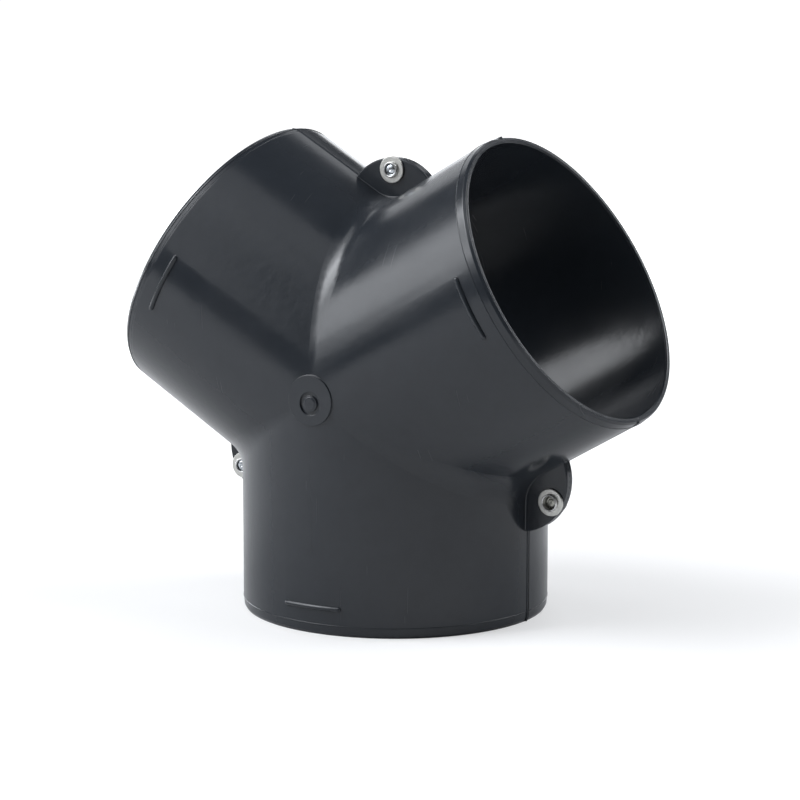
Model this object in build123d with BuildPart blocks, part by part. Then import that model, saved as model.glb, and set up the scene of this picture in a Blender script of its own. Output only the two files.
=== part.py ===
"""Duct Y branch: two moulded half shells, riveted together at three ears.

Millimetres, +Z up. The origin is the centre of the trunk's rim, on the floor and in the
parting plane XZ. The front shell lies on the -Y side, the rear shell on the +Y side.
"""

import math
import os

from build123d import *

# Tubes: a trunk and two branches, all alike, whose axes cross at one point
tube_radius = 45.0
wall = 2.0
reach = 67.0  # from the crossing of the axes to each rim
branch_angle = 60.0  # each branch leans this far from the upright
crease_radius = 10.0  # rounds the valley between two tubes

# Rims: a slight taper for the hose to start on, then a bevelled edge
lead_in_length = 3.0
lead_in_depth = 0.2
rim_bevel_length = 0.8
rim_bevel_depth = 0.45
mouth_chamfer = 0.5

# Hose stops: a short rib on the front and on the back of each tube
stop_distance = 7.3  # from the rim to the near side of the rib
stop_width = 1.0
stop_height = 0.5
stop_arc = 24.0  # degrees round the tube
stop_root = 0.5  # depth to which the rib is rooted in the wall
stop_end_round = 0.45  # rounds each corner of the rib's two ends

# Seam between the shells
seam_relief = 0.6  # bevel along the rear shell's outer edge

# Ears: one in each valley, half of its thickness on each shell
ear_thickness = 1.7
ear_height = 13.0  # from the sharp bottom of the valley to the ear's tip
ear_radius = 16.0
ear_edge = 0.3

# Gate boss in the middle of each shell
boss_radius = 7.2
boss_height = 0.3  # above the crown of the tubes
boss_edge = 0.2
gate_outer_radius = 3.35
gate_inner_radius = 2.3
gate_depth = 0.5
gate_drop = 0.9  # the gate mark lies this far below the boss centre

# Blind rivets, entered from the back and formed over a washer on the front
rivet_inset = 3.4  # from the ear's tip to the rivet
shank_radius = 2.0
hole_clearance = 0.05
flange_radius = 3.9
flange_height = 1.0
flange_edge = 0.3
flange_land = 2.6  # radius of the flat round the bore
formed_radius = 2.3
formed_height = 0.95
washer_radius = 3.95
washer_thickness = 0.7
washer_edge = 0.25
formed_edge = 0.2

# Mandrels, left in the rivets when their stems snap
stem_radius = 1.1
stem_clearance = 0.05
stem_break = 0.5  # the snapped end lies this far inside the flange
bulb_radius = 1.7
bulb_height = 0.85
bulb_shoulder = 0.35
bulb_land = 0.8  # radius of the flat on the mandrel's head
bulb_sink = {"top": 0.15, "right": 1.2, "left": 0.15}  # below the rivet's formed rim

# Directions, in degrees from the upright towards +X
tube_turns = {"trunk": 180.0, "right": branch_angle, "left": -branch_angle}
ear_turns = {
    "top": 0.0,
    "right": (tube_turns["right"] + tube_turns["trunk"]) / 2,
    "left": (tube_turns["left"] - tube_turns["trunk"]) / 2,
}
front_side = -90.0  # where -Y lies round a tube's own axis, counted from +X

crossing = (0, 0, reach)
bore_radius = tube_radius - wall
lead_in_radius = tube_radius - lead_in_depth
hole_radius = shank_radius + hole_clearance
stem_bore = stem_radius + stem_clearance
cup_radius = bulb_radius + stem_clearance


def along(turn, distance):
    """Point in the parting plane, at a distance from the crossing."""
    angle = math.radians(turn)
    return (distance * math.sin(angle), 0, reach + distance * math.cos(angle))


def ear_tip(turn):
    """Distance from the crossing to the tip of the ear that stands in a valley."""
    to_wall = min(abs((tube - turn + 180.0) % 360.0 - 180.0) for tube in tube_turns.values())
    return tube_radius / math.sin(math.radians(to_wall)) + ear_height


def tube_location(turn, spin=0.0):
    """Carries a tube's own frame, whose +Z is its axis, from the crossing to its direction."""
    return Location(crossing, (0, turn, 0)) * Location((0, 0, 0), (0, 0, spin))


def mitre_plane(toward, turn):
    """Bisects a tube and its neighbour, in the frame of the tube at `turn`."""
    half = math.radians(((toward - turn + 180.0) % 360.0 - 180.0) / 2)
    side = math.copysign(1.0, half)
    return Plane(origin=(0, 0, 0), z_dir=(side * math.cos(half), 0, -abs(math.sin(half))))


def mitred_tube(outline, turn):
    """A revolved tube, cut on the bisectors between it and its two neighbours."""
    with BuildPart() as tube:
        with BuildSketch(Plane.XZ):
            with BuildLine():
                Polyline(*outline, close=True)
            make_face()
        revolve(axis=Axis.Z)
        for neighbour in tube_turns.values():
            if neighbour != turn:
                split(bisect_by=mitre_plane(neighbour, turn), keep=Keep.BOTTOM)
    return tube.part


def three_tubes(outline, crease):
    """Trunk and branches mitred into one solid, with the valleys between them rounded."""
    with BuildPart() as body:
        for turn in tube_turns.values():
            with Locations(tube_location(turn)):
                add(mitred_tube(outline, turn))
        fillet(body.edges().filter_by(GeomType.ELLIPSE), crease)
    return body.part


def distance_from_axes(point):
    """Distance of a point in the parting plane from the axis of the tube that it lies beside."""
    offset = point - Vector(crossing)
    distances = []
    for turn in tube_turns.values():
        direction = Vector(math.sin(math.radians(turn)), 0, math.cos(math.radians(turn)))
        if offset.dot(direction) > 0:
            distances.append(offset.cross(direction).length)
    return min(distances)


# Outside of the tubes, and the air space that is taken out of them
overrun = 1.0
tail = -tube_radius  # each tube starts behind the crossing and is cut back by its mitres
outer_form = three_tubes(
    [
        (0, tail),
        (tube_radius, tail),
        (tube_radius, reach - lead_in_length),
        (lead_in_radius, reach - rim_bevel_length),
        (lead_in_radius - rim_bevel_depth, reach),
        (0, reach),
    ],
    crease_radius,
)
air_form = three_tubes(
    [
        (0, tail),
        (bore_radius, tail),
        (bore_radius, reach - mouth_chamfer),
        (bore_radius + mouth_chamfer + overrun, reach + overrun),
        (0, reach + overrun),
    ],
    crease_radius + wall,
)

# One hose stop, in the frame of its tube, from the +X direction round towards +Y
with BuildPart() as hose_stop:
    with BuildSketch(Plane.XZ):
        with Locations((tube_radius - stop_root, reach - stop_distance - stop_width)):
            Rectangle(stop_root + stop_height, stop_width, align=(Align.MIN, Align.MIN))
    revolve(axis=Axis.Z, revolution_arc=stop_arc)
    end_edges = [
        edge for edge in hose_stop.edges().filter_by(GeomType.LINE) if abs(edge.tangent_at(0).Z) < 0.5
    ]
    fillet(end_edges, stop_end_round)

# Front shell: the -Y half of the tubes, with half of each ear
with BuildPart() as front_shell:
    add(outer_form)
    split(bisect_by=Plane.XZ, keep=Keep.TOP)
    with BuildSketch(Plane.XZ):
        for turn in ear_turns.values():
            ear_centre = along(turn, ear_tip(turn) - ear_radius)
            with Locations((ear_centre[0], ear_centre[2])):
                Circle(ear_radius)
    extrude(amount=ear_thickness)
    ear_outline = front_shell.edges().filter_by_position(Axis.Y, -ear_thickness, -ear_thickness)
    chamfer([edge for edge in ear_outline.filter_by(GeomType.CIRCLE) if edge.radius == ear_radius], ear_edge)

    for turn in tube_turns.values():
        with Locations(tube_location(turn, front_side - stop_arc / 2)):
            add(hose_stop.part)

    with BuildSketch(Plane.XZ.offset(bore_radius)):
        with Locations((0, reach)):
            Circle(boss_radius)
    extrude(amount=wall + boss_height)
    boss_face = front_shell.faces().sort_by(Axis.Y)[0]
    chamfer(boss_face.edges(), boss_edge)
    with BuildSketch(Plane.XZ.offset(tube_radius + boss_height)):
        with Locations((0, reach - gate_drop)):
            Circle(gate_outer_radius)
            Circle(gate_inner_radius, mode=Mode.SUBTRACT)
    extrude(amount=-gate_depth, mode=Mode.SUBTRACT)

    add(air_form, mode=Mode.SUBTRACT)
    for turn in ear_turns.values():
        with Locations(Plane(origin=along(turn, ear_tip(turn) - rivet_inset), z_dir=(0, -1, 0))):
            Hole(hole_radius)
front_shell.part.label = "front_shell"

# Rear shell: the same moulding the other way round, with its outer seam edges bevelled
with BuildPart() as rear_shell:
    mirror(front_shell.part, about=Plane.XZ)
    seam_edges = [
        edge
        for edge in rear_shell.edges().filter_by_position(Axis.Y, 0, 0).filter_by(GeomType.LINE)
        if distance_from_axes(edge.center()) > lead_in_radius - rim_bevel_depth
    ]
    chamfer(seam_edges, seam_relief)
rear_shell.part.label = "rear_shell"

# Fasteners, one set for each ear
washer_face = ear_thickness + washer_thickness
formed_face = washer_face + formed_height
flange_face = -ear_thickness - flange_height
fasteners = []
for name, turn in ear_turns.items():
    seat = along(turn, ear_tip(turn) - rivet_inset)
    section = Plane(origin=seat, x_dir=(1, 0, 0), z_dir=(0, 0, -1))  # its +Y points to the front
    axis = Axis(seat, (0, -1, 0))
    bulb_face = formed_face - bulb_sink[name]
    cup_floor = bulb_face - bulb_height

    with BuildPart() as washer:
        with BuildSketch(section):
            with Locations((hole_radius, ear_thickness)):
                Rectangle(washer_radius - hole_radius, washer_thickness, align=(Align.MIN, Align.MIN))
        revolve(axis=axis)
        front_edges = washer.edges().filter_by(GeomType.CIRCLE).group_by(Axis.Y)[0]
        chamfer(front_edges.sort_by(SortBy.RADIUS)[-1], washer_edge)
    washer.part.label = "washer_" + name

    with BuildPart() as rivet:
        with BuildSketch(section):
            with BuildLine():
                Polyline(
                    (stem_bore, flange_face),
                    (flange_land, flange_face),
                    (flange_radius, -ear_thickness - flange_edge),
                    (flange_radius, -ear_thickness),
                    (shank_radius, -ear_thickness),
                    (shank_radius, washer_face),
                    (formed_radius, washer_face),
                    (formed_radius, formed_face - formed_edge),
                    (formed_radius - formed_edge, formed_face),
                    (cup_radius, formed_face),
                    (cup_radius, cup_floor),
                    (stem_bore, cup_floor),
                    close=True,
                )
            make_face()
        revolve(axis=axis)
    rivet.part.label = "rivet_" + name

    with BuildPart() as mandrel:
        with BuildSketch(section):
            with BuildLine():
                Polyline(
                    (0, flange_face + stem_break),
                    (stem_radius, flange_face + stem_break),
                    (stem_radius, cup_floor),
                    (bulb_radius, cup_floor),
                    (bulb_radius, cup_floor + bulb_shoulder),
                    (bulb_land, bulb_face),
                    (0, bulb_face),
                    close=True,
                )
            make_face()
        revolve(axis=axis)
    mandrel.part.label = "mandrel_" + name
    fasteners += [washer.part, rivet.part, mandrel.part]

os.makedirs("parts", exist_ok=True)
for piece in [front_shell.part, rear_shell.part, *fasteners]:
    export_step(piece, "parts/" + piece.label + ".step")
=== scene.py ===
# %% [markdown]
# A duct Y branch is moulded in two half shells, which three blind rivets hold together at three
# ears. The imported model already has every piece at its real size. This lesson sets a camera and
# soft lamps for a product photograph, gives the shells their plastic, lays the thin marks of the
# mould over them as beads, and turns finer fasteners in place of the plain ones.

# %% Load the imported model
import math
import random

import bmesh
import bpy
from mathutils import Matrix, Quaternion, Vector


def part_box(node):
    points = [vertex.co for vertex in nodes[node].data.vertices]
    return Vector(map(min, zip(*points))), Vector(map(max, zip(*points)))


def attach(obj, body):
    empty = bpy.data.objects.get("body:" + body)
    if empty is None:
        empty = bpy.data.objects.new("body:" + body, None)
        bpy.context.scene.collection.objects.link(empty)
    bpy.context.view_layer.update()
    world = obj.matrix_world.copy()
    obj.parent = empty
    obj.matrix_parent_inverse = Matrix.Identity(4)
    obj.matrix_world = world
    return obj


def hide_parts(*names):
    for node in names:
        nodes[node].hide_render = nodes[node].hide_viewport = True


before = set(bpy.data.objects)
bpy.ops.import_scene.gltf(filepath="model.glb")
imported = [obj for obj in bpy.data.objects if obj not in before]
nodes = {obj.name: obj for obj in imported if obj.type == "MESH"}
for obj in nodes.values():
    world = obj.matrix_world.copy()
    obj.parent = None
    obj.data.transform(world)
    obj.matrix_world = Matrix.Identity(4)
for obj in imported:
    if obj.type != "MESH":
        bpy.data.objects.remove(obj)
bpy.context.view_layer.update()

print("pieces in the frame:", ", ".join(sorted(nodes)))

# %% [markdown]
# The camera comes first, because every later choice is judged through it. The photograph was
# taken with a long lens from the right and a little above. Azimuth 0 would look along +Y. The
# camera could be dragged into place, but here it is built from its azimuth and elevation, so
# that the view can be read off the numbers. They come from laying the outline of the packed
# model over the outline in the photograph.

# %% Place the camera
view_azimuth = math.radians(31.9946)
view_elevation = math.radians(9.5908)
view_roll = math.radians(0.0218)
view_target = Vector((0.00164, -0.0002, 0.0609))
view_distance = 0.82317
lens_mm = 126.345
sensor_mm = 36.0

back = Vector((
    math.sin(view_azimuth) * math.cos(view_elevation),
    -math.cos(view_azimuth) * math.cos(view_elevation),
    math.sin(view_elevation),
))
level_right = Vector((math.cos(view_azimuth), math.sin(view_azimuth), 0))
level_up = back.cross(level_right)
right = level_right * math.cos(view_roll) + level_up * math.sin(view_roll)
up = back.cross(right)

camera_data = bpy.data.cameras.new("photo_camera")
camera_data.lens = lens_mm
camera_data.sensor_width = sensor_mm
camera = bpy.data.objects.new("photo_camera", camera_data)
camera.matrix_world = Matrix.Translation(view_target + back * view_distance) @ Matrix((
    (right.x, up.x, back.x, 0),
    (right.y, up.y, back.y, 0),
    (right.z, up.z, back.z, 0),
    (0, 0, 0, 1),
))
bpy.context.scene.collection.objects.link(camera)
bpy.context.scene.camera = camera
bpy.context.scene.view_settings.view_transform = "Standard"
print("camera stands at", [round(value, 4) for value in camera.matrix_world.translation])

# %% [markdown]
# Every finish here is a small node tree. A helper that makes a node, sets its values and joins
# its inputs keeps each tree short enough to read like a sentence.


# %% Helper for node trees
def add_node(tree, kind, values=None, links=None, **settings):
    """Makes one shader node, sets its properties and inputs, and joins the inputs in links."""
    node = tree.nodes.new(kind)
    for key, value in settings.items():
        setattr(node, key, value)
    for key, value in (values or {}).items():
        node.inputs[key].default_value = value
    for key, socket in (links or {}).items():
        tree.links.new(socket, node.inputs[key])
    return node


def new_material(name):
    """An empty material with its output node, ready for a tree."""
    material = bpy.data.materials.new(name)
    material.use_nodes = True
    tree = material.node_tree
    tree.nodes.clear()
    return material, tree, add_node(tree, "ShaderNodeOutputMaterial")


# %% [markdown]
# The object stands on white paper. To the camera the paper is lifted to white, less so close to
# the object, which keeps the soft shadow there. More light could make it white too, but it would
# also lift the object. In reflections the paper is only a little lighter than lit matt paper,
# because a white floor would lift the dark plastic. Nothing else is lit by the lift.

# %% Floor and world
paper_white = 0.66
paper_near = 0.36
paper_far = 1.0
paper_in_gloss = 0.013
lift_starts = 0.15
lift_ends = 0.9
floor_size = 30.0

paper, paper_tree, paper_output = new_material("white_paper")
paper_rays = add_node(paper_tree, "ShaderNodeLightPath")
paper_gloss = add_node(
    paper_tree, "ShaderNodeMath", {1: paper_in_gloss},
    {0: paper_rays.outputs["Is Glossy Ray"]}, operation="MULTIPLY",
)
paper_place = add_node(paper_tree, "ShaderNodeTexCoord")
paper_reach = add_node(
    paper_tree, "ShaderNodeVectorMath", links={0: paper_place.outputs["Object"]},
    operation="LENGTH",
)
paper_lift = add_node(
    paper_tree, "ShaderNodeMapRange",
    {"From Min": lift_starts, "From Max": lift_ends,
     "To Min": paper_near, "To Max": paper_far},
    {"Value": paper_reach.outputs["Value"]}, interpolation_type="SMOOTHSTEP",
)
paper_seen = add_node(
    paper_tree, "ShaderNodeMath",
    links={0: paper_rays.outputs["Is Camera Ray"], 1: paper_lift.outputs[0],
           2: paper_gloss.outputs[0]},
    operation="MULTIPLY_ADD",
)
paper_matt = add_node(
    paper_tree, "ShaderNodeBsdfDiffuse", {"Color": (paper_white, paper_white, paper_white, 1)},
)
paper_glow = add_node(
    paper_tree, "ShaderNodeEmission", links={"Strength": paper_seen.outputs[0]},
)
paper_sum = add_node(
    paper_tree, "ShaderNodeAddShader",
    links={0: paper_matt.outputs[0], 1: paper_glow.outputs[0]},
)
paper_tree.links.new(paper_sum.outputs[0], paper_output.inputs["Surface"])

floor_mesh = bpy.data.meshes.new("floor")
half_floor = floor_size / 2
floor_mesh.from_pydata(
    [(-half_floor, -half_floor, 0), (half_floor, -half_floor, 0),
     (half_floor, half_floor, 0), (-half_floor, half_floor, 0)],
    [], [(0, 1, 2, 3)],
)
floor = bpy.data.objects.new("floor", floor_mesh)
floor_mesh.materials.append(paper)
bpy.context.scene.collection.objects.link(floor)

room_level = 0.085
world = bpy.data.worlds.new("studio")
bpy.context.scene.world = world
world.use_nodes = True
sky = world.node_tree
sky.nodes.clear()
sky_rays = add_node(sky, "ShaderNodeLightPath")
sky_strength = add_node(
    sky, "ShaderNodeMapRange", {"To Min": room_level, "To Max": 1.0},
    {"Value": sky_rays.outputs["Is Camera Ray"]},
)
sky_light = add_node(
    sky, "ShaderNodeBackground", links={"Strength": sky_strength.outputs[0]},
)
add_node(sky, "ShaderNodeOutputWorld", links={"Surface": sky_light.outputs[0]})
print("paper is", floor_size, "m wide, the room's level is", room_level)

# %% [markdown]
# A dark glossy tube shows its lamps as long soft bands. Each lamp is given by the direction
# from which it shines, its size and its brightness, as a photographer would note it, and a
# function turns that into an area lamp that looks at the object. A glowing card would do the
# same, but a lamp is easier to turn and stays out of the picture.


# %% Studio lamps
lamp_tint = (0.97, 0.995, 1.035)
lamp_distance = 1.4


def softbox(name, azimuth, elevation, width, height, brightness, lean=0):
    """Area lamp that faces the object; azimuth counts from +X towards +Y, brightness 1 is white.

    A lean, in degrees, tips the lamp sideways in its own plane.
    """
    lamp = bpy.data.lights.new(name, "AREA")
    lamp.shape = "RECTANGLE"
    lamp.size = width
    lamp.size_y = height
    lamp.energy = brightness * math.pi * width * height
    lamp.color = lamp_tint
    lamp_object = bpy.data.objects.new(name, lamp)
    direction = Vector((
        math.cos(math.radians(elevation)) * math.cos(math.radians(azimuth)),
        math.cos(math.radians(elevation)) * math.sin(math.radians(azimuth)),
        math.sin(math.radians(elevation)),
    ))
    lamp_object.location = view_target + direction * lamp_distance
    facing = direction.to_track_quat("Z", "Y") @ Quaternion((0, 0, 1), math.radians(lean))
    lamp_object.rotation_euler = facing.to_euler()
    lamp_object.visible_camera = False
    bpy.context.scene.collection.objects.link(lamp_object)


# %% [markdown]
# The main light is one tall soft box on the left. Its cloth isn't evenly bright: a weak tube
# glows behind its lower part and a strong one behind its upper part, and that gives the long
# bands on the branches their crisp upper edge and soft fall. One lamp with a picture of such a
# glow on it could do this, but it is built of strips, one above another, because a formula can
# light them: a strip is brighter the nearer it lies to one of the two tubes.

# %% Main soft box
key_azimuth = -145
key_width = 0.8
strip_height = 0.19
lowest_strip = 10
highest_strip = 66
strip_spacing = 8
low_tube, low_glow, low_spread = 22, 4.5, 12
high_tube, high_glow, high_spread = 48, 10.0, 10


def key_glow(elevation):
    """Brightness of the soft box's cloth at an elevation in degrees."""
    low = low_glow * math.exp(-((elevation - low_tube) / low_spread) ** 2)
    return low + high_glow * math.exp(-((elevation - high_tube) / high_spread) ** 2)


for key_elevation in range(lowest_strip, highest_strip + 1, strip_spacing):
    softbox("key_strip_" + str(key_elevation), key_azimuth, key_elevation, key_width, strip_height,
            key_glow(key_elevation))
    print("strip at", key_elevation, "degrees, brightness", round(key_glow(key_elevation), 2))

# %% [markdown]
# Smaller cards and strips stand round the table. Those on the right and behind draw the bright
# edges of the tubes and shine into the open mouths, and those above give the ears and the
# valleys their light.

# %% Cards and strips
softbox("key_right_strip", -125, 34, 0.25, 0.7, 2.0)
softbox("left_rail", -165, 58, 0.9, 0.4, 1.0)
softbox("overhead", -100, 70, 1.1, 0.5, 0.8)
softbox("front_left_panel", -114, 38, 0.5, 1.3, 0.95, lean=-15)
softbox("right_overhead", 30, 55, 0.8, 0.5, 6.0)
softbox("right_back_card", 45, 30, 0.5, 0.5, 7.0)
softbox("right_low_card", 12, 20, 0.6, 0.6, 1.0)
softbox("back_card", 140, 25, 0.6, 0.4, 1.0)
softbox("back_rail", 110, 38, 0.9, 0.3, 1.0)
softbox("back_left_card", 168, 8, 0.7, 0.6, 6.0)
softbox("back_right_strip", 77, 17, 0.35, 0.4, 1.5)
softbox("backdrop_glow", 122, 4, 2.2, 0.5, 2.0)
print("lamps in all:", len(bpy.data.lights))

# %% [markdown]
# The shells are dark charcoal plastic with a satin gloss. Close up it isn't even: the mould
# gives it a fine orange peel, the flow of the melt leaves faint clouds in the gloss, and
# handling leaves hair scratches. All of it is bump and roughness, with only a trace in colour.
# It could be painted on the mesh, but noise in the object's own space needs no unwrapping and
# holds up from any distance.

# %% Shell plastic
shell_colour = (0.0205, 0.0245, 0.0305)
shell_roughness = 0.20
smoother_cloud, rougher_cloud = 0.05, 0.06
scratch_roughness = 0.06
flow_contrast = 0.14
edge_softness = 0.0003

shell, shell_tree, shell_output = new_material("charcoal_plastic")
shell_place = add_node(shell_tree, "ShaderNodeTexCoord")
shell_peel = add_node(
    shell_tree, "ShaderNodeTexNoise", {"Scale": 420.0, "Detail": 3.0, "Roughness": 0.5},
    {"Vector": shell_place.outputs["Object"]},
)
shell_clouds = add_node(
    shell_tree, "ShaderNodeTexNoise", {"Scale": 45.0, "Detail": 4.0, "Roughness": 0.6},
    {"Vector": shell_place.outputs["Object"]},
)
shell_gloss = add_node(
    shell_tree, "ShaderNodeMapRange",
    {"From Min": 0.3, "From Max": 0.7,
     "To Min": shell_roughness - smoother_cloud, "To Max": shell_roughness + rougher_cloud},
    {"Value": shell_clouds.outputs["Fac"]},
)
shell_edges = add_node(
    shell_tree, "ShaderNodeBevel", {"Radius": edge_softness}, samples=8,
)
shell_bump = add_node(
    shell_tree, "ShaderNodeBump", {"Strength": 0.15, "Distance": 0.0002},
    {"Height": shell_peel.outputs["Fac"], "Normal": shell_edges.outputs[0]},
)
scratch_way = add_node(
    shell_tree, "ShaderNodeMapping",
    {"Rotation": (0.5, 0.9, 0.3), "Scale": (2600.0, 60.0, 60.0)},
    {"Vector": shell_place.outputs["Object"]},
)
scratch_noise = add_node(
    shell_tree, "ShaderNodeTexNoise", {"Scale": 1.0, "Detail": 1.0},
    {"Vector": scratch_way.outputs[0]},
)
scratches = add_node(
    shell_tree, "ShaderNodeMapRange", {"From Min": 0.72, "From Max": 0.78},
    {"Value": scratch_noise.outputs["Fac"]},
)
shell_scratched = add_node(
    shell_tree, "ShaderNodeBump", {"Strength": 0.08, "Distance": 0.00003},
    {"Height": scratches.outputs[0], "Normal": shell_bump.outputs[0]},
)
rubbed = add_node(
    shell_tree, "ShaderNodeMath", {1: scratch_roughness}, {0: scratches.outputs[0]},
    operation="MULTIPLY",
)
shell_worn_gloss = add_node(
    shell_tree, "ShaderNodeMath", links={0: shell_gloss.outputs[0], 1: rubbed.outputs[0]},
    operation="ADD",
)
shell_flow = add_node(
    shell_tree, "ShaderNodeTexNoise", {"Scale": 140.0, "Detail": 5.0, "Roughness": 0.7},
    {"Vector": shell_place.outputs["Object"]},
)
shell_tone = add_node(
    shell_tree, "ShaderNodeMix",
    {"A": [(1 - flow_contrast) * part for part in shell_colour] + [1],
     "B": [(1 + flow_contrast) * part for part in shell_colour] + [1]},
    {"Factor": shell_flow.outputs["Fac"]}, data_type="RGBA",
)
shell_shader = add_node(
    shell_tree, "ShaderNodeBsdfPrincipled",
    {"IOR": 1.5},
    {"Base Color": shell_tone.outputs[2], "Roughness": shell_worn_gloss.outputs[0],
     "Normal": shell_scratched.outputs[0]},
)
shell_tree.links.new(shell_shader.outputs[0], shell_output.inputs["Surface"])

for name in ("front_shell", "rear_shell"):
    nodes[name].data.materials.clear()
    nodes[name].data.materials.append(shell)
    print(name, "is", shell.name)

# %% [markdown]
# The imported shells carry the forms. What a close look adds to a moulding is thin: the flash
# along the seam, the line where an ear joins the tubes, the rounded hose stops, and the marks
# where two parts of the mould met. Each is a bead laid along a path. A path is a function of a
# share from 0 to 1, and a bead is a curve with a round section whose ends close like a
# fingertip, because its points crowd together towards both ends of the path.


# %% Helper that lays beads
mm = 0.001
tube_reach = 67 * mm
tube_radius = 45 * mm
crossing = Vector((0, 0, tube_reach))
tube_turns = {"trunk": 180, "right": 60, "left": -60}
ear_turns = {"top": 0, "right": 120, "left": -120}
front, rear = -1, 1


def directions_of(turn):
    """A tube's or ear's direction from the crossing, and the direction across it."""
    angle = math.radians(turn)
    return Vector((math.sin(angle), 0, math.cos(angle))), Vector((math.cos(angle), 0, -math.sin(angle)))


def beads(name, paths, half_width, material, steps=48):
    """One piece made of several beads; every path is a function of a share from 0 to 1."""
    thinnest_end = 0.02
    curve = bpy.data.curves.new(name, "CURVE")
    curve.dimensions = "3D"
    curve.bevel_depth = half_width
    curve.bevel_resolution = 3
    for path in paths:
        points = [path((1 - math.cos(math.pi * step / steps)) / 2) for step in range(steps + 1)]
        lengths = [0.0]
        for start, end in zip(points, points[1:]):
            lengths.append(lengths[-1] + (end - start).length)
        spline = curve.splines.new("POLY")
        spline.points.add(steps)
        for point, place, length in zip(spline.points, points, lengths):
            to_end = min(length, lengths[-1] - length, half_width) / half_width
            point.co = (*place, 1)
            point.radius = max(thinnest_end, math.sqrt(1 - (1 - to_end) ** 2))
    curve.materials.append(material)
    piece = bpy.data.objects.new(name, curve)
    bpy.context.scene.collection.objects.link(piece)
    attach(piece, "root")
    print(name, "has", len(curve.splines), "beads")


# %% [markdown]
# Each tube has a short rib on its front and on its back, which stops the hose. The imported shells
# carry it with square sides. On the real part its back is round, so a round bead that follows
# the tube through 24 degrees lies over it.


# %% Hose stops
stop_from_rim = 7.8 * mm
stop_half_arc = math.radians(12)
stop_half_width = 0.74 * mm
stop_sink = 0.04 * mm


def round_tube(turn, side, from_rim, radius, start, end):
    """Path round a tube, between two angles counted from the tube's front or back."""
    along, across = directions_of(turn)

    def path(share):
        angle = start + (end - start) * share
        outward = Vector((0, side, 0)) * math.cos(angle) + across * math.sin(angle)
        return crossing + along * (tube_reach - from_rim) + outward * radius

    return path


beads("hose_stops", [
    round_tube(turn, side, stop_from_rim, tube_radius - stop_sink, -stop_half_arc, stop_half_arc)
    for turn in tube_turns.values() for side in (front, rear)
], stop_half_width, shell)

# %% [markdown]
# The mould's core ring leaves a hairline round each mouth where the taper for the hose begins.
# The left tube has two of them. They stand so little above the wall that only the light on
# them shows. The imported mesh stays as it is, so they are beads that lie about half in the wall,
# each given by its distance from the rim and its depth below the tube's radius.

# %% Lines round the mouths
taper_line = (3.0 * mm, 0.06 * mm)
mouth_lines = {
    "trunk": [taper_line],
    "right": [taper_line],
    "left": [(1.2 * mm, 0.16 * mm), (2.4 * mm, 0.16 * mm)],
}
line_half_width = 0.16 * mm
quarter_turn = math.pi / 2
beads("mouth_lines", [
    round_tube(tube_turns[name], side, from_rim, tube_radius - sink, -quarter_turn, quarter_turn)
    for name, lines in mouth_lines.items() for from_rim, sink in lines for side in (front, rear)
], line_half_width, shell, steps=72)

# %% [markdown]
# Where the core met the cavity at each mouth, the inner edge of the rim keeps a fine burr. It
# is what draws the thin bright line round the opening.

# %% Burr on the inner edge of each mouth
burr_half_width = 0.24 * mm
burr_from_rim = 0.22 * mm
burr_radius = tube_radius - 1.62 * mm
beads("mouth_burrs", [
    round_tube(turn, side, burr_from_rim, burr_radius, -quarter_turn, quarter_turn)
    for turn in tube_turns.values() for side in (front, rear)
], burr_half_width, shell, steps=72)

# %% [markdown]
# The shells meet along straight lines on both sides of every tube. The front shell is a trace
# larger there, as pressed-together halves often are, so its edge stands proud as a thin flash.
# Behind it the bevel of the rear shell makes a groove. A dull dark filling laid in that groove is
# painted shade: it stands for the shadow in the gap and gives the black line of a real seam. How
# deep a bead sinks into the wall, and how far its end droops over the rim, differ from tube to tube.


# %% Seam flash and painted shade in the seam groove
seam_start = 39.0 * mm
rim_taper = 3.0 * mm
flash_half_width = 0.34 * mm
flash_forward = 0.33 * mm
groove_half_width = 0.42 * mm
groove_back = 0.43 * mm
groove_stops = 0.4 * mm
groove_droop = 0.3 * mm


def along_seam(turn, side, outward, depth, start, end, droop=0.0):
    """Path along one seam; outward and depth place it across the seam, droop lowers its end."""
    along, across = directions_of(turn)

    def path(share):
        distance = start + (end - start) * share
        lower = droop * max(0.0, 1 - (tube_reach - distance) / rim_taper) ** 2
        return crossing + along * distance + across * side * (outward - lower) + Vector((0, depth, 0))

    return path


flash_fit = {
    ("trunk", -1): (0.04 * mm, 0.30 * mm), ("trunk", 1): (0.04 * mm, 0.30 * mm),
    ("right", -1): (0.04 * mm, 0.30 * mm), ("right", 1): (0.30 * mm, 0.0),
    ("left", -1): (0.24 * mm, 0.50 * mm), ("left", 1): (0.24 * mm, 0.50 * mm),
}
beads("seam_flash", [
    along_seam(tube_turns[name], side, tube_radius - sink, -flash_forward, seam_start, tube_reach,
               droop)
    for (name, side), (sink, droop) in flash_fit.items()
], flash_half_width, shell)

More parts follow.
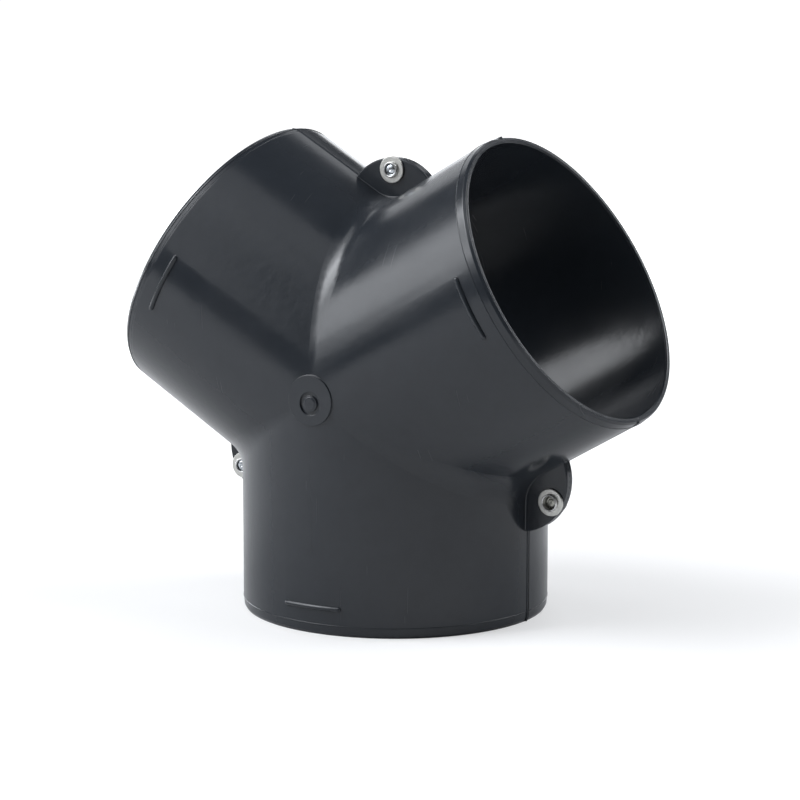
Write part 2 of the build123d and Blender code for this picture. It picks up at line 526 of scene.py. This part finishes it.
# The filling's near-black colour is painted shade, standing for the shadow deep in the gap between the
# shells.
seam_painted_shade, shade_fill_tree, shade_fill_output = new_material("seam_painted_shade")
shade_fill_place = add_node(shade_fill_tree, "ShaderNodeTexCoord")
shade_fill_grain = add_node(
    shade_fill_tree, "ShaderNodeTexNoise", {"Scale": 1500.0, "Detail": 3.0},
    {"Vector": shade_fill_place.outputs["Object"]},
)
shade_fill_tone = add_node(
    shade_fill_tree, "ShaderNodeMapRange", {"To Min": 0.003, "To Max": 0.009},
    {"Value": shade_fill_grain.outputs["Fac"]},
)
shade_fill_bump = add_node(
    shade_fill_tree, "ShaderNodeBump", {"Strength": 0.5, "Distance": 0.00005},
    {"Height": shade_fill_grain.outputs["Fac"]},
)
shade_fill_shader = add_node(
    shade_fill_tree, "ShaderNodeBsdfPrincipled", {"Roughness": 0.95, "Specular IOR Level": 0.05},
    {"Base Color": shade_fill_tone.outputs[0], "Normal": shade_fill_bump.outputs[0]},
)
shade_fill_tree.links.new(shade_fill_shader.outputs[0], shade_fill_output.inputs["Surface"])

# These dark beads are painted shade laid in the groove behind the flash.
groove_sink = {"trunk": 0.34 * mm, "right": 0.60 * mm, "left": 0.60 * mm}
beads("seam_groove_painted_shade", [
    along_seam(turn, side, tube_radius - groove_sink[name], groove_back, seam_start,
               tube_reach - groove_stops, groove_droop)
    for name, turn in tube_turns.items() for side in (-1, 1)
], groove_half_width, seam_painted_shade)

# %% [markdown]
# An ear's face meets the round tubes in a line: straight along one tube, round the valley, and
# straight along the next. The corner of the mould is a little blunt there, so a narrow bead
# runs along that line and catches the light.


# %% Roots of the ears
ear_face_depth = 1.7 * mm
root_half_width = 0.27 * mm
root_end = 40.2 * mm
valley_half_angle = math.radians(60)
rolling_ball = 10 * mm
ball_distance = tube_radius + rolling_ball
ball_way = ball_distance / math.sqrt(3)
ball_up = math.hypot(ball_distance, ball_way)


def ear_root(turn, side):
    """Path along the line where an ear's face meets the tubes and the valley between them."""
    up_ear, across = directions_of(turn)
    tilt = valley_half_angle
    level = math.sqrt(tube_radius ** 2 - ear_face_depth ** 2)
    straight = root_end - ball_way
    arc = rolling_ball * tilt
    total = 2 * straight + arc

    def path(share):
        travelled = share * total
        mirrored = travelled > total / 2
        travelled = min(travelled, total - travelled)
        if travelled < straight:
            way = root_end - travelled
            sideways = way * math.sin(tilt) - level * math.cos(tilt)
            height = way * math.cos(tilt) + level * math.sin(tilt)
        else:
            bend = tilt / 2 - (travelled - straight) / rolling_ball
            radius = rolling_ball + tube_radius - level
            sideways = radius * math.sin(bend)
            height = ball_up - radius * math.cos(bend)
        if mirrored:
            sideways = -sideways
        return crossing + up_ear * height + across * sideways + Vector((0, side * ear_face_depth, 0))

    return path


beads("ear_roots", [
    ear_root(turn, side) for turn in ear_turns.values() for side in (front, rear)
], root_half_width, shell, steps=64)

# %% [markdown]
# Two marks are left in the middle of the front. The mould had an insert below the boss, whose
# edge printed a faint upright line. Inside the ring, the gate through which the plastic came
# in was broken off, and left a low rough stub. The line is one more bead. The stub is built
# vertex by vertex, in rings whose height is shaken a little, because a break has no even form.

# %% Insert line and gate stub
insert_line_start = 9.0 * mm
insert_line_end = 44.0 * mm
insert_line_sink = 0.13 * mm
insert_line_half_width = 0.17 * mm


def insert_line(share):
    """Path straight down the front of the trunk, from below the boss."""
    down = insert_line_start + (insert_line_end - insert_line_start) * share
    return crossing + Vector((0, -tube_radius + insert_line_sink, -down))


beads("insert_line", [insert_line], insert_line_half_width, shell)

random.seed(4)
stub_mesh = bpy.data.meshes.new("gate_stub")
stub = bmesh.new()
stub_radius = 2.15 * mm
stub_height = 0.10 * mm
stub_roughness = 0.03 * mm
stub_root = 0.25 * mm
stub_rings = 9
stub_sides = 40
stub_closing = 0.97
stub_edge_slope = 3
boss_face = tube_radius + 0.3 * mm
gate_drop = 0.9 * mm
gate_centre = crossing + Vector((0, -boss_face, -gate_drop))
rings = []
for ring in range(stub_rings + 1):
    share = ring / stub_rings
    rings.append([])
    for side in range(stub_sides):
        angle = 2 * math.pi * side / stub_sides
        radius = stub_radius * (1 - share * stub_closing)
        rough = random.uniform(-stub_roughness, stub_roughness) if ring > 0 else 0.0
        root = stub_root if ring == 0 else 0.0
        rise = stub_height * min(1.0, stub_edge_slope * share) - root + rough
        rings[-1].append(stub.verts.new(
            gate_centre + Vector((radius * math.cos(angle), -rise, radius * math.sin(angle)))
        ))
for outer, inner in zip(rings, rings[1:]):
    for side in range(stub_sides):
        after = (side + 1) % stub_sides
        stub.faces.new((outer[side], outer[after], inner[after], inner[side]))
stub.faces.new(rings[-1])
stub.faces.new(list(reversed(rings[0])))
bmesh.ops.recalc_face_normals(stub, faces=stub.faces)
for face in stub.faces:
    face.smooth = True
stub.to_mesh(stub_mesh)
stub.free()
stub_mesh.materials.append(shell)
gate_stub = bpy.data.objects.new("gate_stub", stub_mesh)
bpy.context.scene.collection.objects.link(gate_stub)
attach(gate_stub, "root")
print("gate stub:", len(stub_mesh.polygons), "faces")

# %% [markdown]
# The fasteners are small, but they are the only bright things on a dark object, so the eye goes
# to them. There are four metals: a washer of plated steel with a warm satin grey, a rivet body
# of softer aluminium, and for the mandrels a bluish plated steel and a duller, darker and warmer
# copy of it, whose darkness is painted shade for the mandrel deep in the right rivet's cup. One
# function makes all four from a colour and a roughness, with tumbling marks in the bump and
# small changes in the gloss, because plain shiny metal looks like a toy this close.


# %% Metals
def fastener_metal(name, colour, roughness, mark_size):
    """Plated or tumbled metal; mark_size is the spacing of its fine marks, in metres."""
    material, tree, output = new_material(name)
    place = add_node(tree, "ShaderNodeTexCoord")
    marks = add_node(
        tree, "ShaderNodeTexNoise", {"Scale": 1 / mark_size, "Detail": 4.0, "Roughness": 0.65},
        {"Vector": place.outputs["Object"]},
    )
    tarnish = add_node(
        tree, "ShaderNodeTexNoise", {"Scale": 0.2 / mark_size, "Detail": 2.0},
        {"Vector": place.outputs["Object"]},
    )
    gloss = add_node(
        tree, "ShaderNodeMapRange",
        {"From Min": 0.3, "From Max": 0.7, "To Min": roughness - 0.08, "To Max": roughness + 0.1},
        {"Value": marks.outputs["Fac"]},
    )
    shade = add_node(
        tree, "ShaderNodeMix", {"A": colour, "B": [0.8 * part for part in colour[:3]] + [1]},
        {"Factor": tarnish.outputs["Fac"]}, data_type="RGBA",
    )
    relief = add_node(
        tree, "ShaderNodeBump", {"Strength": 0.35, "Distance": 0.00004},
        {"Height": marks.outputs["Fac"]},
    )
    shader = add_node(
        tree, "ShaderNodeBsdfPrincipled", {"Metallic": 1.0},
        {"Base Color": shade.outputs[2], "Roughness": gloss.outputs[0],
         "Normal": relief.outputs[0]},
    )
    tree.links.new(shader.outputs[0], output.inputs["Surface"])
    return material


washer_metal = fastener_metal("plated_washer_steel", (0.74, 0.735, 0.70, 1), 0.36, 0.0006)
rivet_metal = fastener_metal("rivet_aluminium", (0.74, 0.74, 0.73, 1), 0.30, 0.0004)
mandrel_metal = fastener_metal("plated_mandrel_steel", (0.66, 0.70, 0.74, 1), 0.20, 0.0005)
# A darker, warmer copy of the mandrel steel; its colour is painted shade for the right mandrel in its deep
# cup.
shaded_mandrel_metal = fastener_metal("mandrel_steel_painted_shade", (0.40, 0.40, 0.36, 1), 0.28, 0.0004)
print("metals:", ", ".join(metal.name for metal in (washer_metal, rivet_metal, mandrel_metal, shaded_mandrel_metal)))

# %% [markdown]
# Washers, rivets and mandrels are all turned or pressed round an axis, so one profile spun
# round that axis makes each of them. A real pressed part has no sharp corner: a helper first
# replaces each inner corner of the profile by a short arc, and the arc catches the thin bright
# line that makes metal look like metal.


# %% Helper that spins a profile
def soften(profile, radius, steps=4):
    """Replaces each corner of an open profile of (radius, height) points by a small arc."""
    points = [Vector(profile[0])]
    for before, corner, after in zip(profile, profile[1:], profile[2:]):
        before, corner, after = Vector(before), Vector(corner), Vector(after)
        reach = min(radius, 0.45 * (before - corner).length, 0.45 * (after - corner).length)
        start = corner + (before - corner).normalized() * reach
        end = corner + (after - corner).normalized() * reach
        for step in range(steps + 1):
            t = step / steps
            points.append(start * (1 - t) ** 2 + corner * 2 * t * (1 - t) + end * t ** 2)
    return points + [Vector(profile[-1])]


def spin_profile(name, seat, profile, material, sides=72):
    """A closed solid of revolution; heights count from the parting plane towards the front."""
    mesh = bpy.data.meshes.new(name)
    shape = bmesh.new()
    rings = []
    for radius, height in profile:
        rings.append([
            shape.verts.new((
                seat.x + radius * math.cos(2 * math.pi * side / sides),
                -height,
                seat.z + radius * math.sin(2 * math.pi * side / sides),
            ))
            for side in range(sides)
        ])
    for ring, following in zip(rings, rings[1:] + rings[:1]):
        for side in range(sides):
            after = (side + 1) % sides
            shape.faces.new((ring[side], ring[after], following[after], following[side]))
    bmesh.ops.remove_doubles(shape, verts=shape.verts, dist=1e-7)
    bmesh.ops.recalc_face_normals(shape, faces=shape.faces)
    for face in shape.faces:
        face.smooth = True
    shape.to_mesh(mesh)
    shape.free()
    mesh.materials.append(material)
    piece = bpy.data.objects.new(name, mesh)
    bpy.context.scene.collection.objects.link(piece)
    return piece


# %% [markdown]
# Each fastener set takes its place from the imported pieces: the middle of the washer's box is
# the rivet's axis, and the faces of the boxes give every height. So a finer piece sits exactly
# where the plain one sat. The formed lip is wider on the right rivet, whose mandrel lies deeper.

# %% Turn the fasteners
pressed_radius = 0.18 * mm
hole_play = 0.05 * mm
shank = 2.0 * mm
lip_width = 0.55 * mm
lip_corner = 0.25 * mm
flange_trim = 0.87
flange_land = 1.9 * mm
cup_radius = 1.75 * mm
cup_rims = {"top": 1.75 * mm, "right": 1.98 * mm, "left": 1.75 * mm}
stem_hole = 1.15 * mm
stem_radius = 1.1 * mm
bulb_radius = 1.7 * mm
bulb_height = 0.85 * mm
bulb_softness = 0.25 * mm
dimple_radius = 0.3 * mm
# The right mandrel takes the darker steel, whose colour is painted shade in its deep cup.
mandrel_finish = {"top": mandrel_metal, "right": shaded_mandrel_metal, "left": mandrel_metal}

for ear in ("top", "right", "left"):
    washer_low, washer_high = (Vector(corner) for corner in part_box("washer_" + ear))
    rivet_low, rivet_high = (Vector(corner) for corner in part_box("rivet_" + ear))
    mandrel_low, mandrel_high = (Vector(corner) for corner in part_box("mandrel_" + ear))
    seat = (washer_low + washer_high) / 2
    washer_radius = (washer_high.x - washer_low.x) / 2
    washer_face, ear_face = -washer_low.y, -washer_high.y
    lip_face, flange_face = -rivet_low.y, -rivet_high.y
    flange_radius = flange_trim * (rivet_high.x - rivet_low.x) / 2
    bulb_face, stem_end = -mandrel_low.y, -mandrel_high.y
    cup_floor = bulb_face - bulb_height
    cup_rim = cup_rims[ear]
    lip = cup_rim + lip_width

    washer = spin_profile("fine_washer_" + ear, seat, soften([
        (shank + hole_play, (washer_face + ear_face) / 2),
        (shank + hole_play, washer_face),
        (washer_radius, washer_face),
        (washer_radius, ear_face),
        (shank + hole_play, ear_face),
        (shank + hole_play, (washer_face + ear_face) / 2),
    ], pressed_radius), washer_metal)
    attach(washer, "root")
    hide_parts("washer_" + ear)

    rivet = spin_profile("fine_rivet_" + ear, seat, soften([
        (stem_hole, 0),
        (stem_hole, flange_face),
        (flange_land, flange_face),
        (0.8 * flange_radius, flange_face + 0.35 * mm),
        (flange_radius, -ear_face - 0.2 * mm),
        (flange_radius, -ear_face),
        (shank, -ear_face),
        (shank, washer_face),
        (lip, washer_face),
        (lip, lip_face - lip_corner),
        (lip - lip_corner, lip_face),
        (cup_rim, lip_face - 0.1 * mm),
        (cup_radius, washer_face),
        (cup_radius, cup_floor),
        (stem_hole, cup_floor),
        (stem_hole, 0),
    ], pressed_radius), rivet_metal)
    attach(rivet, "root")
    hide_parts("rivet_" + ear)

    mandrel = spin_profile("fine_mandrel_" + ear, seat, soften([
        (0, stem_end),
        (stem_radius - 0.15 * mm, stem_end),
        (stem_radius, stem_end + 0.2 * mm),
        (stem_radius, cup_floor),
        (bulb_radius, cup_floor),
        (1.68 * mm, bulb_face - 0.45 * mm),
        (1.2 * mm, bulb_face - 0.12 * mm),
        (dimple_radius + 0.15 * mm, bulb_face),
        (dimple_radius, bulb_face - 0.1 * mm),
        (0, bulb_face - 0.25 * mm),
    ], bulb_softness), mandrel_finish[ear])
    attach(mandrel, "root")
    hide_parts("mandrel_" + ear)
    print(ear, "fasteners turned, lip", round(lip_face / mm, 2), "mm from the parting plane")
